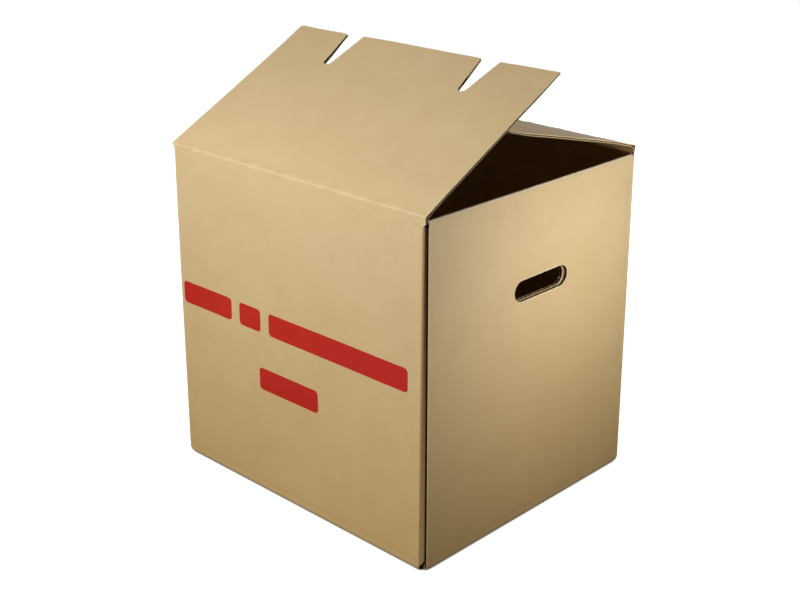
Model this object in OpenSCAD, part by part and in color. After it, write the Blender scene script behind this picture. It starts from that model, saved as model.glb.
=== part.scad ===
// Open carton for moving and storage, die-cut and folded from one sheet of corrugated board.
// The front faces -Y, the end walls with the hand slots face -X and +X, and Z is up from the base.
// The body is one folded and glued sheet. The two lids turn at their creases.

/* [Board] */
// Thickness of the corrugated board
board_t = 4; // [3:0.1:5]
// Thickness of each flat liner of the board
liner_t = 0.6; // [0.4:0.1:0.8]
// Thickness of the fluted sheet between the liners
medium_t = 0.5; // [0.4:0.1:0.8]
// Distance from one flute to the next
flute_pitch = 7.8; // [6:0.2:10]
// Radius on the inner side of a fold
fold_r = 1; // [0.5:0.1:2]
// Gap between two plies that lie on each other
ply_gap = 0.4; // [0.2:0.1:1]

/* [Box] */
// Width outside, along the front wall
box_w = 400; // [320:5:520]
// Depth outside, along an end wall
box_d = 350; // [280:5:450]
// Height over the folded tops of the end walls
box_h = 390; // [320:5:480]

/* [Glued corner joint] */
// Width of the glue tab behind the end panel
tab_w = 34; // [25:1:40]
// Distance from the top of the end wall down to the tab
tab_top = 10; // [8:1:30]
// Height of the tab's lower end over the floor
tab_foot = 10; // [8:1:30]
// Height that the tab loses at each slanted end
tab_slant = 9; // [4:1:15]
// Gap between the front wall and the raw edge of the end panel
joint_gap = 0.6; // [0.3:0.1:2]

/* [Doubled end walls] */
// Height of the inner ply, from the top fold down
inner_ply_h = 225; // [150:5:260]
// Clearance from the glue tab to the inner ply
inner_ply_clear = 6; // [3:1:20]
// Height of the slanted shoulders of the inner ply
shoulder_h = 10; // [5:1:12]
// Length of the hand slot
slot_len = 91; // [80:1:130]
// Height of the hand slot
slot_h = 24; // [22:1:40]
// Distance from the top fold down to the middle of the hand slot
slot_down = 113; // [60:1:130]
// Distance from the middle of the end wall back to the middle of the hand slot
slot_back = 8; // [0:1:25]

/* [Lids] */
// Reach of each lid past the middle of the box, and the depth of its notches
lid_reach = 57; // [40:1:80]
// Gap from the side edge of a lid to the outer face of the end wall
lid_side_gap = 1; // [0.5:0.5:4]
// Width of a notch at its mouth
notch_mouth = 27; // [20:1:40]
// Radius of the round end of a notch
notch_end_r = 6; // [4:0.5:9]
// Distance between the two notches of a lid
notch_apart = 209; // [150:1:260]
// Angle of the rear lid above its closed position
rear_open = 14.6; // [8:0.1:18]
// Gap where the front lid rests on the free edge of the rear lid
rest_gap = 0.4; // [0.3:0.1:1]
// Gap between the top of a wall and the root of its lid
crease_gap = 0.3; // [0.2:0.1:0.8]
// Outer radius of the crease of a lid
crease_r = 2.5; // [1:0.1:3.5]
// Length beside the crease where the flutes are crushed shut
crush_l = 7; // [5:0.5:15]

/* [Base flaps] */
// Length of the inner base flaps, which come from the end walls
end_flap_l = 175; // [140:1:195]
// Gap of the seam between the two outer base flaps
seam_gap = 1; // [0.5:0.5:4]
// Gap between the sides of the base flaps where they pass each other
flap_side_gap = 1.5; // [0.5:0.5:5]
// Length over which an inner base flap steps up over the outer ones
flap_step_l = 8; // [6:1:20]

/* [Hidden] */
$fn = 48;
kraft = [0.80, 0.68, 0.48];
// Outer radius of a single fold and of the doubled top fold
out_r = fold_r + board_t;
top_r = board_t + ply_gap / 2;
// Outer faces and the lines where the corner folds start
half_w = box_w / 2;
half_d = box_d / 2;
corner_x = half_w - out_r;
corner_y = half_d - out_r;
// Crease lines: the closed front lid lies on the end walls and the closed rear lid on the front one
front_crease_z = box_h + ply_gap + board_t;
rear_crease_z = front_crease_z + ply_gap + board_t;
front_wall_top = front_crease_z - board_t - crease_gap;
rear_wall_top = rear_crease_z - board_t - crease_gap;
// Inner base flaps start at the floor between the corners and step up over the outer ones
upper_z = board_t + ply_gap;
end_flap_half = corner_y - flap_side_gap;
outer_flap_half = corner_x - flap_step_l - flap_side_gap;
// Right end of the front wall, inside the end panel
joint_x = half_w - board_t;
joint_y = -half_d + board_t + joint_gap;
tab_z0 = tab_foot;
tab_z1 = box_h - tab_top;
// Straight part of an end wall ends where the doubled fold starts
end_wall_top = box_h - top_r;
inner_half = half_d - tab_w - inner_ply_clear;
// Lids
lid_len = half_d + lid_reach;
lid_w = box_w - 2 * lid_side_gap;
// Tip of the rear lid seen from the front crease, and the angle at which the front lid rests on it
tip_y = box_d - lid_len * cos(rear_open);
tip_z = rear_crease_z - front_crease_z + lid_len * sin(rear_open);
front_open = atan2(tip_z, tip_y) + asin((board_t + rest_gap) / norm([tip_y, tip_z]));
// A margin by which cutting shapes pass the faces that they cut
past = 1;
// Steps in the small arcs of a lid's crease
arc_steps = 6;

// Quarter of a ring in the quadrant of -X and -Y, for a fold of one ply
module fold_quarter(r) {
    intersection() {
        difference() {
            circle(r);
            circle(r - board_t);
        }
        translate([-r, -r])
            square(r);
    }
}

// Extrudes a section drawn as distance in from the front face and height, from x0 to x1
module along_x(x0, x1) {
    translate([x0, 0, 0])
        rotate([90, 0, 90])
            linear_extrude(x1 - x0)
                children();
}

// Extrudes a section drawn as X and height, from y0 to y1
module along_y(y0, y1) {
    translate([0, y1, 0])
        rotate([90, 0, 0])
            linear_extrude(y1 - y0)
                children();
}

// Section of the fold between a wall and its base flap
module foot_fold() {
    translate([out_r, out_r])
        fold_quarter(out_r);
}

// Section of a wall over its base fold
module wall_section(top_z) {
    foot_fold();
    translate([0, out_r])
        square([board_t, top_z - out_r]);
}

// Outer base flap of the front wall, cut back beside the end walls
module outer_base_flap() {
    translate([0, -half_d, 0])
        along_x(-outer_flap_half, outer_flap_half)
            translate([out_r, 0])
                square([half_d - out_r - seam_gap / 2, board_t]);
}

// Front wall, which ends in the glue tab at its right edge
module front_wall() {
    outer_base_flap();
    translate([0, -half_d, 0]) {
        along_x(-corner_x, joint_x - out_r)
            wall_section(front_wall_top);
        along_x(joint_x - out_r - past, corner_x)
            foot_fold();
        along_x(joint_x - out_r - past, joint_x - joint_gap)
            translate([0, tab_z1])
                square([board_t, front_wall_top - tab_z1]);
        along_x(joint_x - out_r - past, joint_x - joint_gap)
            translate([0, out_r])
                square([board_t, tab_z0 - out_r]);
    }
}

// Glue tab: it turns the corner and is stuck to the inner face of the end panel
module glue_tab() {
    translate([joint_x - out_r, -corner_y, tab_z0])
        linear_extrude(tab_z1 - tab_z0)
            mirror([1, 0])
                fold_quarter(out_r);
    translate([joint_x - board_t, 0, 0])
        along_x(0, board_t)
            polygon([
                [-corner_y, tab_z0],
                [-half_d + tab_w, tab_z0 + tab_slant],
                [-half_d + tab_w, tab_z1 - tab_slant],
                [-corner_y, tab_z1]
            ]);
}

// Rear wall with its base flap
module rear_wall() {
    mirror([0, 1, 0]) {
        outer_base_flap();
        translate([0, -half_d, 0])
            along_x(-corner_x, corner_x)
                wall_section(rear_wall_top);
    }
}

// Half ring of the doubled top fold of an end wall
module top_fold_section() {
    translate([top_r, end_wall_top])
        intersection() {
            difference() {
                circle(top_r);
                circle(ply_gap / 2);
            }
            translate([-top_r, 0])
                square([2 * top_r, top_r]);
        }
}

// Outline of the inner ply, drawn as depth and height
module inner_ply_outline() {
    foot_z = box_h - inner_ply_h;
    polygon([
        [-corner_y, end_wall_top],
        [-inner_half, end_wall_top - shoulder_h],
        [-inner_half, foot_z],
        [inner_half, foot_z],
        [inner_half, end_wall_top - shoulder_h],
        [corner_y, end_wall_top]
    ]);
}

// Round-ended hand slot through both plies
module hand_slot() {
    end_r = slot_h / 2;
    run = slot_len / 2 - end_r;
    translate([-past, 0, 0])
        along_x(0, 2 * top_r + 2 * past)
            translate([slot_back, box_h - slot_down]) {
                square([2 * run, slot_h], center = true);
                for (side = [-1, 1])
                    translate([side * run, 0])
                        circle(end_r);
            }
}

// Section of an inner base flap: its fold at the floor, the step and the flat part
module inner_flap_section() {
    foot_fold();
    polygon([
        [out_r, 0],
        [out_r + flap_step_l, upper_z],
        [end_flap_l, upper_z],
        [end_flap_l, upper_z + board_t],
        [out_r + flap_step_l, upper_z + board_t],
        [out_r, board_t]
    ]);
}

// End wall at -X, from y0 to y1, with its inner base flap and its inner ply
module end_wall(y0, y1) {
    translate([-half_w, 0, 0])
        difference() {
            union() {
                along_y(y0, y1)
                    translate([0, out_r])
                        square([board_t, end_wall_top - out_r]);
                along_y(-end_flap_half, end_flap_half)
                    inner_flap_section();
                along_y(-corner_y, corner_y)
                    top_fold_section();
                translate([board_t + ply_gap, 0, 0])
                    along_x(0, board_t)
                        inner_ply_outline();
            }
            hand_slot();
        }
}

// Rounded upright corner where two walls meet
module wall_corner(side_x, side_y, top_z) {
    mirror([side_x > 0 ? 1 : 0, 0, 0])
        mirror([0, side_y > 0 ? 1 : 0, 0])
            translate([-corner_x, -corner_y, out_r])
                linear_extrude(top_z - out_r)
                    fold_quarter(out_r);
}

module box_body() {
    color(kraft) {
        front_wall();
        glue_tab();
        rear_wall();
        end_wall(-corner_y, corner_y);
        mirror([1, 0, 0])
            end_wall(joint_y, corner_y);
        wall_corner(-1, -1, end_wall_top);
        wall_corner(-1, 1, end_wall_top);
        wall_corner(1, 1, end_wall_top);
    }
}

// Points along an arc from angle a0 to angle a1
function arc_points(centre, r, a0, a1) =
    [for (i = [0 : arc_steps])
        let (a = a0 + (a1 - a0) * i / arc_steps)
        centre + r * [cos(a), sin(a)]];

// Side view of a lid and its crease: the crease line is the origin, X runs to the free edge
// and Y points out of the outer face. The root fills the bend down to the wall.
module lid_section(open) {
    bend = 90 - open;
    set_back = min(crease_r * tan(bend / 2), board_t / 2);
    round_r = set_back / tan(bend / 2);
    polygon(concat(
        [[lid_len, -board_t], [lid_len, 0]],
        arc_points([set_back, -round_r], round_r, 90, 90 + bend),
        arc_points([0, 0], board_t, 180 + bend, 270)
    ));
}

// Point where the side of a notch touches its round end, seen from the centre of that end
function notch_touch(h) =
    let (m = notch_mouth / 2, a = atan2(h, m) - acos(notch_end_r / norm([m, h])))
    notch_end_r * [cos(a), sin(a)];

// Outline of a tapered notch, with its mouth past the free edge
module notch_outline() {
    end_y = lid_len - lid_reach + notch_end_r;
    h = lid_len - end_y;
    touch = notch_touch(h);
    mouth = notch_mouth / 2 + past * (notch_mouth / 2 - touch[0]) / (h - touch[1]);
    translate([0, end_y]) {
        circle(notch_end_r);
        polygon([
            [-touch[0], touch[1]],
            [touch[0], touch[1]],
            [mouth, h + past],
            [-mouth, h + past]
        ]);
    }
}

// Hollows of the flutes, drawn as X and distance down from the outer face. The fluted sheet
// touches a liner over a quarter of the pitch and runs straight from one liner to the other.
module flute_hollows() {
    core = board_t - 2 * liner_t;
    flat = flute_pitch / 8;
    slope = flute_pitch / 4;
    skin = medium_t * norm([slope, core]) / core / 2;
    count = ceil(lid_w / flute_pitch / 2) + 1;
    for (i = [-count : count])
        translate([i * flute_pitch, -liner_t]) {
            polygon([
                [-flat - slope + skin, 0],
                [-flat + skin / 2, medium_t - core],
                [flat - skin / 2, medium_t - core],
                [flat + slope - skin, 0]
            ]);
            translate([flute_pitch / 2, -core])
                mirror([0, 1])
                    polygon([
                        [-flat - slope + skin, 0],
                        [-flat + skin / 2, medium_t - core],
                        [flat - skin / 2, medium_t - core],
                        [flat + slope - skin, 0]
                    ]);
        }
}

// A lid with its crease on the X axis. It reaches towards +Y and its outer face is up.
module lid(open) {
    rotate([open, 0, 0])
        difference() {
            along_x(-lid_w / 2, lid_w / 2)
                lid_section(open);
            for (side = [-1, 1])
                translate([side * notch_apart / 2, 0, -board_t - past])
                    linear_extrude(board_t + 2 * past)
                        notch_outline();
            intersection() {
                along_y(crush_l, lid_len + past)
                    flute_hollows();
                translate([-half_w, 0, -board_t])
                    cube([box_w, lid_len + 2 * past, board_t]);
            }
        }
}

module front_lid() {
    color(kraft)
        translate([0, -half_d, front_crease_z])
            lid(front_open);
}

module rear_lid() {
    color(kraft)
        translate([0, half_d, rear_crease_z])
            mirror([0, 1, 0])
                lid(rear_open);
}

box_body();
front_lid();
rear_lid();
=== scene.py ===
import math

import bmesh
import bpy
import numpy as np
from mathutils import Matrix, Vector
from mathutils.geometry import delaunay_2d_cdt


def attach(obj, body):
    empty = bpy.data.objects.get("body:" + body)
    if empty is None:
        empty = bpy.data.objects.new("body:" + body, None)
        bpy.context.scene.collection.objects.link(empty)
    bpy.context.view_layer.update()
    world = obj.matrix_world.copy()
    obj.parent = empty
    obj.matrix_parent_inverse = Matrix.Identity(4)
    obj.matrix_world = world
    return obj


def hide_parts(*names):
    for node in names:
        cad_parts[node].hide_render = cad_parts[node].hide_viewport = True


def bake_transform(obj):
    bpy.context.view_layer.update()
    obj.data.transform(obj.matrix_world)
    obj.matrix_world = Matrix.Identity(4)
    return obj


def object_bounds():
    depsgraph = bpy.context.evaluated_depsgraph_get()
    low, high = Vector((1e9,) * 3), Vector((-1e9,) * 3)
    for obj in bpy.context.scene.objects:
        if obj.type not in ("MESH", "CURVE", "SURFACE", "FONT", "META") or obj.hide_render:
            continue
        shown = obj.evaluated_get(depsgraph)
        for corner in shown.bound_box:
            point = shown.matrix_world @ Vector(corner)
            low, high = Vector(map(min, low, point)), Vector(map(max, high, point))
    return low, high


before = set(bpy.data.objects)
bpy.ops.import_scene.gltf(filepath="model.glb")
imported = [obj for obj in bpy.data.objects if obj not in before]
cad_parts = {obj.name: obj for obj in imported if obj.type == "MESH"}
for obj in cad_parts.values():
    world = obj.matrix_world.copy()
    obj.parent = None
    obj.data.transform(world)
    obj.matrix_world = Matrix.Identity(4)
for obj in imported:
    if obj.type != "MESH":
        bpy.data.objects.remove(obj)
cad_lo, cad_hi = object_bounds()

MM = 0.001

# Main sizes in millimetres, with the same origin as the frame
HALF_W = float(round(cad_hi[0] / MM))
HALF_D = float(round(cad_hi[1] / MM))
BOX_H = 390.0
CORNER_R = 5.0
TOP_R = 4.2
CORNER_ARC = math.pi / 2 * CORNER_R
TOP_ARC = math.pi * TOP_R
WALL_TOP = BOX_H - TOP_R

# The board: two flat liners with a fluted sheet between them
BOARD_T = 4.0
LINER_T = 0.55
REAR_LINER_T = 0.85
MEDIUM_T = 0.5
FLUTE_PITCH = 7.8
FLUTE_SWING = (BOARD_T - 2 * LINER_T - MEDIUM_T) / 2
PLY_GAP = 0.4

# The glue tab, and the joint beside it
TAB_W = 34.0
TAB_X = HALF_W - BOARD_T - 0.1
TAB_TOP = 383.5
JOINT_GAP = 0.6
# Where the tab's crisp fold runs, as a share of its corner, and where it stands at the foot and leans to
TAB_BEND = 1 - 4.6 / CORNER_ARC
TAB_BEND_SOFT = 0.07
TAB_FOLD_X = 192.0
TAB_FOLD_LEAN = 3.5

# The doubled end walls, and the hand slots through both plies
PLY_H = 225.0
PLY_HALF = HALF_D - TAB_W - 6.0
PLY_TAPER = 10.0
TOP_PRESS = 1.6
SLOT_L = 91.0
SLOT_R = 12.0
SLOT_BACK = 8.0
SLOT_Z = BOX_H - 113.0
# How far the slot in an inner ply stands to the front and up, as in a box folded by hand
SLOT_FORWARD = 2.8
SLOT_UP = 0.45

# The base flaps
OUTER_FLAP_L = HALF_D - CORNER_R - 0.5
INNER_FLAP_L = 175.0 - CORNER_R
FLAP_CUT_BACK = 9.5
FLAP_CUT_BACK_TAB = 5.5
FLAP_STEP_L = 8.0
FLAP_SIDE_GAP = 0.4
FLAP_JOINT_GAP = 1.0

# The lids and their creases
FRONT_Z = BOX_H + PLY_GAP + BOARD_T
REAR_Z = FRONT_Z + PLY_GAP + BOARD_T
LID_L = 232.0
LID_HALF = HALF_W - 1.0
HINGE_L = 8.0
CREASE_BELOW = 4.0
FRONT_TOP = FRONT_Z - BOARD_T - CREASE_BELOW
REAR_TOP = REAR_Z - BOARD_T - CREASE_BELOW
NOTCH_X = 104.5
NOTCH_R = 6.0
NOTCH_HALF = 13.5
NOTCH_L = 57.0
REST_GAP = 0.4
REAR_OPEN = math.radians(14.6)
# The tip of the rear lid seen from the front crease, and the angle at which the front lid rests on it
TIP_Y = 2 * HALF_D - LID_L * math.cos(REAR_OPEN)
TIP_Z = REAR_Z - FRONT_Z + LID_L * math.sin(REAR_OPEN)
FRONT_OPEN = math.atan2(TIP_Z, TIP_Y) + math.asin((BOARD_T + REST_GAP) / math.hypot(TIP_Y, TIP_Z))
# How far the crushed board of each crease spreads out at its left and right end
SPREAD = {"front_lid": (1.6, 0.3), "rear_lid": (0.2, 0.2)}
SPREAD_L = 9.0

# Printed bars on the front wall: left and right from its left edge, then low and high
BARS = ((8, 96, 201, 228), (110, 147, 201, 228), (161, 376, 201, 228), (143, 240, 131, 158))
BAR_R = 5.0

# Unevenness of the walls, and the dents beside their folds
WALL_WAVE = 0.5
WALL_WAVE_L = 260
DENT, DENT_AT, DENT_W = 0.3, 4.5, 3.0

# The mesh: the step of the grid inside a panel, and how far it keeps from a cut
GRID = 9.0
GRID_CLEAR = 1.2
# How deep the hollow is behind a cut across the flutes, and behind one along them
CUT_DEPTH = 11.0
CUT_DEPTH_ALONG = 4.5
FLUTE_SET_BACK = 0.25
FLUTE_ROWS = 5
# Points closer than this are one, and an edge with a larger angle is drawn hard
MERGE = 0.02
HARD_ANGLE = math.radians(38)
# Points closer than this are one in the flat blank
SAME_POINT = 1e-4
# How many points of an outline are measured at a time
BLOCK = 400
# A hair's breadth, by which neighbouring cuts are kept apart
HAIR = 0.02

# Places of the finishes in the list of materials of each piece; the core's dark colour is partly the fluted
# paper's own and partly painted shade in the board's hollows
OUTER, INNER, CUT, CORE_AND_SHADE, INK = range(5)


# Shapes that many pieces use

def smooth(x):
    """Goes softly from 0 to 1 while x does."""
    x = np.clip(x, 0, 1)
    return x * x * (3 - 2 * x)


def hump(x, at, width):
    """A soft hump of height 1."""
    return np.exp(-((x - at) / width) ** 2)


def ripple(x, y, seed, wavelength):
    """Smooth, irregular waves of about unit size and the given wavelength."""
    draw = np.random.default_rng(seed)
    out = np.zeros(np.broadcast(x, y).shape)
    for _ in range(7):
        way = draw.uniform(0, 2 * math.pi)
        rate = 2 * math.pi / (wavelength * draw.uniform(0.7, 1.8))
        out += np.sin(rate * (x * math.cos(way) + y * math.sin(way)) + draw.uniform(0, 6.3))
    return out / 3.0


def flute(u, phase):
    """Height of the fluted sheet, from -1 to 1, with its crests pressed flat on the liners."""
    return np.clip(1.25 * np.sin(2 * math.pi * (u - phase) / FLUTE_PITCH), -1, 1)


def arc(x, y, radius, start, stop, count):
    """Points on an arc, with its angles in degrees."""
    angle = np.radians(np.linspace(start, stop, count))
    return list(zip(x + radius * np.cos(angle), y + radius * np.sin(angle)))


def resample(corners):
    """A closed outline from corners (x, y, step), with no point further than step from the one before."""
    out = []
    for (x, y, step), (next_x, next_y, _) in zip(corners, corners[1:] + corners[:1]):
        a, b = np.array([x, y], float), np.array([next_x, next_y], float)
        count = max(1, math.ceil(np.linalg.norm(b - a) / step))
        out += [a + (b - a) * i / count for i in range(count)]
    return np.array(out)


def inside(points, polygon):
    """Which of many points lie inside a polygon."""
    x, y = points.T
    out = np.zeros(len(points), bool)
    for (x0, y0), (x1, y1) in zip(polygon, np.roll(polygon, -1, 0)):
        if y0 != y1:
            out ^= ((y < y0) != (y < y1)) & (x < (x1 - x0) * (y - y0) / (y1 - y0) + x0)
    return out


def on_board(points, loops):
    """Which points lie inside the outline, the first loop, and outside every hole, the others."""
    out = inside(points, loops[0])
    for hole in loops[1:]:
        out &= ~inside(points, hole)
    return out


def square_gap(points, others):
    """Square of the distance from each point to the nearest of the others."""
    return np.min(((points[:, None, :] - others[None, :, :]) ** 2).sum(2), axis=1)


# Board as a mesh

class BoardMesh:
    """Collects the points and faces of one piece of board, then makes its Blender object."""

    def __init__(self):
        self.points, self.uvs, self.wear, self.low = [], [], [], []
        self.corners, self.finishes = [], []
        self.count = 0

    def add(self, points, uvs, wear=None, low=None):
        """Adds points, gives the number of the first. The first values say how pale they are, from rubbing
        and painted highlight, the second how much warm tint they get, which is painted shade.
        """
        first = self.count
        nothing = np.zeros(len(points))
        self.points.append(np.asarray(points, float))
        self.uvs.append(np.asarray(uvs, float))
        self.wear.append(nothing if wear is None else wear)
        self.low.append(nothing if low is None else low)
        self.count += len(points)
        return first

    def faces(self, rows, finish):
        """Adds faces, given as rows of point numbers."""
        self.corners += [tuple(int(i) for i in row) for row in rows]
        self.finishes += [finish] * len(rows)

    def build(self, name):
        mesh = bpy.data.meshes.new(name)
        mesh.from_pydata([tuple(p) for p in np.vstack(self.points) * MM], [], self.corners)
        of_loop = np.zeros(len(mesh.loops), np.int32)
        mesh.loops.foreach_get("vertex_index", of_loop)
        uvs = (np.vstack(self.uvs) * MM)[of_loop]
        mesh.uv_layers.new(name="board").data.foreach_set("uv", uvs.astype(np.float32).ravel())
        mesh.polygons.foreach_set("material_index", np.array(self.finishes, np.int32))
        mesh.polygons.foreach_set("use_smooth", np.ones(len(mesh.polygons), bool))
        for key, values in (("wear", self.wear), ("low", self.low)):
            layer = mesh.attributes.new(key, "FLOAT", "POINT")
            layer.data.foreach_set("value", np.concatenate(values).astype(np.float32))
        for finish in FINISHES:
            mesh.materials.append(finish)
        mesh.update()
        work = bmesh.new()
        work.from_mesh(mesh)
        bmesh.ops.remove_doubles(work, verts=work.verts, dist=MERGE * MM)
        bmesh.ops.dissolve_degenerate(work, dist=1e-6, edges=work.edges)
        for edge in work.edges:
            if len(edge.link_faces) == 2 and edge.calc_face_angle(0) > HARD_ANGLE:
                edge.smooth = False
        work.to_mesh(mesh)
        work.free()
        mesh.update()
        made = bpy.data.objects.new(name, mesh)
        bpy.context.scene.collection.objects.link(made)
        return made


def grid_points(loops, marks, lines):
    """Points of a grid over the board and on extra lines, without those that crowd a cut or a mark."""
    low, high = loops[0].min(0), loops[0].max(0)
    grid = [np.arange(low[i] + GRID / 2, high[i], GRID) for i in (0, 1)]
    across, up = (np.unique(np.concatenate(both)) for both in zip(grid, lines))
    points = np.column_stack([a.ravel() for a in np.meshgrid(across, up)])
    points = points[on_board(points, loops)]
    for ring in loops + marks:
        for i in range(0, len(ring), BLOCK):
            points = points[square_gap(points, ring[i:i + BLOCK]) > GRID_CLEAR ** 2]
    return points


def triangulate(loops, marks, loose):
    """Triangles over the board that keep every side of the loops and marks.
    Gives the points, the triangles, and the numbers of the points of each loop."""
    given, sides, starts = [], [], []
    for ring in loops + marks:
        first, count = len(given), len(ring)
        starts.append(first)
        sides += [(first + i, first + (i + 1) % count) for i in range(count)]
        given += [tuple(p) for p in ring]
    given += [tuple(p) for p in loose.tolist()]
    found, _, triangles, origins, _, _ = delaunay_2d_cdt([Vector(p) for p in given], sides, [], 0, SAME_POINT)
    points = np.array([tuple(p) for p in found])
    triangles = np.array([t for t in triangles if len(t) == 3])
    triangles = triangles[on_board(points[triangles].mean(1), loops)]
    now = {old: new for new, olds in enumerate(origins) for old in olds}
    rims = [np.array([now[first + i] for i in range(len(loop))]) for first, loop in zip(starts, loops)]
    return points, triangles, rims


def cut_edge(mesh, loop, is_hole, turned, rims, place, phase, liner, pressed):
    """The cut face of the board along a loop: the edges of both liners and of the flutes between them.
    rims are the loop's points on the outer and the inner face. Where pressed, the flutes are shut and the
    outer liner's cut takes the outer face's colour, while the inner liner's cut takes the dark core colour,
    which is painted shade."""
    count = len(loop)
    numbers = np.arange(count)
    after = np.roll(numbers, -1)
    x, y = loop.T
    area = 0.5 * np.sum(x * np.roll(y, -1) - y * np.roll(x, -1))
    sense = 1.0 if (area > 0) != is_hole else -1.0
    side = np.roll(loop, -1, 0) - loop
    side /= np.maximum(np.linalg.norm(side, axis=1), 1e-9)[:, None]
    # the way into the board from each side, and from each corner
    normal = np.stack([-side[:, 1], side[:, 0]], 1) * sense
    before = np.roll(normal, 1, 0)
    mitre = normal + before
    # at a sharp corner the way in is kept short
    least = 0.35
    mitre /= np.maximum((mitre * normal).sum(1), least)[:, None]
    across = np.abs(normal[:, 1] + before[:, 1]) / 2
    depth = CUT_DEPTH * across + CUT_DEPTH_ALONG * (1 - across)
    forward = (sense > 0) != turned

    def strip(a, b, finish, only=None):
        """A strip of faces between two rows of points."""
        rows = np.stack([a, a[after], b[after], b], 1)
        if not forward:
            rows = rows[:, ::-1]
        mesh.faces(rows if only is None else rows[only], finish)

    def moved_in(by):
        """The loop moved into the board."""
        return loop + mitre * np.reshape(by, (-1, 1))

    def row(by, w):
        """The points of the loop, moved into the board, at w across it."""
        at = moved_in(by)
        return mesh.add(place(at[:, 0], at[:, 1], np.full(count, w)), at + (0, w)) + numbers

    outer_rim, inner_rim = rims
    under_outer, under_inner = row(0.0, -liner), row(0.0, liner - BOARD_T)
    # where pressed, the inner liner's cut is given the dark core colour as painted shade
    strip(outer_rim, under_outer, CUT, ~pressed)
    strip(outer_rim, under_outer, OUTER, pressed)
    strip(under_inner, inner_rim, CUT, ~pressed)
    strip(under_inner, inner_rim, CORE_AND_SHADE, pressed)
    # the hollow behind the cut has the dark core colour, partly the fluted paper's own and partly painted
    # shade
    deep_outer, deep_inner = row(depth, -liner), row(depth, liner - BOARD_T)
    strip(under_outer, deep_outer, CORE_AND_SHADE)
    strip(deep_inner, under_inner, CORE_AND_SHADE)
    strip(deep_outer, deep_inner, CORE_AND_SHADE)
    crest, hollow = [], []
    for i in range(FLUTE_ROWS):
        at = moved_in(FLUTE_SET_BACK + (depth - FLUTE_SET_BACK) * i / (FLUTE_ROWS - 1))
        middle = -BOARD_T / 2 + FLUTE_SWING * flute(at[:, 0], phase)
        for rows, half in ((crest, 0.5), (hollow, -0.5)):
            rows.append(mesh.add(place(at[:, 0], at[:, 1], middle + half * MEDIUM_T), at) + numbers)
    strip(crest[0], hollow[0], CUT, ~pressed)
    strip(crest[0], hollow[0], INNER, pressed)
    for i in range(FLUTE_ROWS - 1):
        strip(crest[i + 1], crest[i], CORE_AND_SHADE)
        strip(hollow[i], hollow[i + 1], CORE_AND_SHADE)


def lay_board(mesh, outline, holes, place, phase, lines, liner=LINER_T, marks=(), extra=None,
              wear=None, inner_painted_highlight=None, low=None, pressed=None):
    """Lays a blank of board, cut to an outline and holes in (u, v), through place(u, v, w).
    w is 0 on the outer face and -BOARD_T on the inner one. marks are printed outlines on the outer face,
    lines are extra lines of the grid, and extra is more points. Of the functions of (u, v), the first says
    how pale the outer face is, from rubbing and painted highlight, the second how pale the inner face is,
    from painted highlight, and the third how much warm tint the outer face gets, painted shade towards the
    floor.
    The function of points says where a cut is rubbed over and its flutes are pressed shut; there the inner
    liner's cut has the dark core colour, which is painted shade."""
    loops, marks = [outline, *holes], list(marks)
    loose = grid_points(loops, marks, lines)
    if extra is not None:
        loose = np.vstack([loose, extra])
    points, triangles, numbers = triangulate(loops, marks, loose)
    u, v = points.T
    flat = np.zeros(len(points))
    outer = mesh.add(place(u, v, flat), points, wear and wear(u, v), low and low(u, v))
    inner = mesh.add(place(u, v, flat - BOARD_T), points, inner_painted_highlight and inner_painted_highlight(u, v))
    # which way round a triangle faces outwards
    middles = points[triangles].mean(1)
    a, b, c = place(*points[triangles[0]].T, np.zeros(3))
    outwards = place(*middles[:1].T, np.ones(1))[0] - a
    turned = np.dot(np.cross(b - a, c - a), outwards) < 0
    if turned:
        triangles = triangles[:, ::-1]
    printed = np.zeros(len(triangles), bool)
    for mark in marks:
        printed |= inside(middles, mark)
    mesh.faces(triangles[~printed] + outer, OUTER)
    mesh.faces(triangles[printed] + outer, INK)
    mesh.faces(triangles[:, ::-1] + inner, INNER)
    for loop, rim in zip(loops, numbers):
        shut = np.zeros(len(loop), bool) if pressed is None else pressed(loop)
        rims = (outer + rim, inner + rim)
        cut_edge(mesh, loop, loop is not outline, turned, rims, place, phase, liner, shut)


# The body. u runs round the walls from the long edge of the glue tab, and v runs up them. A straight
# stretch has its two ends, seen from above, and a corner has its centre and the angle where it starts.
TAB, TAB_FOLD, FRONT, FRONT_LEFT, LEFT, REAR_LEFT, REAR, REAR_RIGHT, RIGHT = range(9)
CORNERS = (TAB_FOLD, FRONT_LEFT, REAR_LEFT, REAR_RIGHT)
CORNER_X, CORNER_Y = HALF_W - CORNER_R, HALF_D - CORNER_R
STRETCHES = [
    ("line", (TAB_X, -HALF_D + TAB_W), (TAB_X, -CORNER_Y)),
    ("arc", (TAB_X - CORNER_R, -CORNER_Y), 0.0),
    ("line", (TAB_X - CORNER_R, -HALF_D), (-CORNER_X, -HALF_D)),
    ("arc", (-CORNER_X, -CORNER_Y), -90.0),
    ("line", (-HALF_W, -CORNER_Y), (-HALF_W, CORNER_Y)),
    ("arc", (-CORNER_X, CORNER_Y), 180.0),
    ("line", (-CORNER_X, HALF_D), (CORNER_X, HALF_D)),
    ("arc", (CORNER_X, CORNER_Y), 90.0),
    ("line", (HALF_W, CORNER_Y), (HALF_W, -HALF_D + BOARD_T + JOINT_GAP)),
]
LENGTHS = [math.dist(start, stop) if kind == "line" else CORNER_ARC for kind, start, stop in STRETCHES]
# Where each stretch starts, and at the end the raw edge of the right wall
STARTS = np.concatenate([[0.0], np.cumsum(LENGTHS)])
RAW_EDGE = STARTS[-1]
MID_LEFT = (STARTS[LEFT] + STARTS[REAR_LEFT]) / 2
MID_RIGHT = STARTS[RIGHT] + CORNER_Y
TAB_BEND_U = STARTS[TAB_FOLD] + TAB_BEND * (STARTS[FRONT] - STARTS[TAB_FOLD])
PLY_START = WALL_TOP + TOP_ARC
BASE_FOLD = CORNER_R - CORNER_ARC


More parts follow.
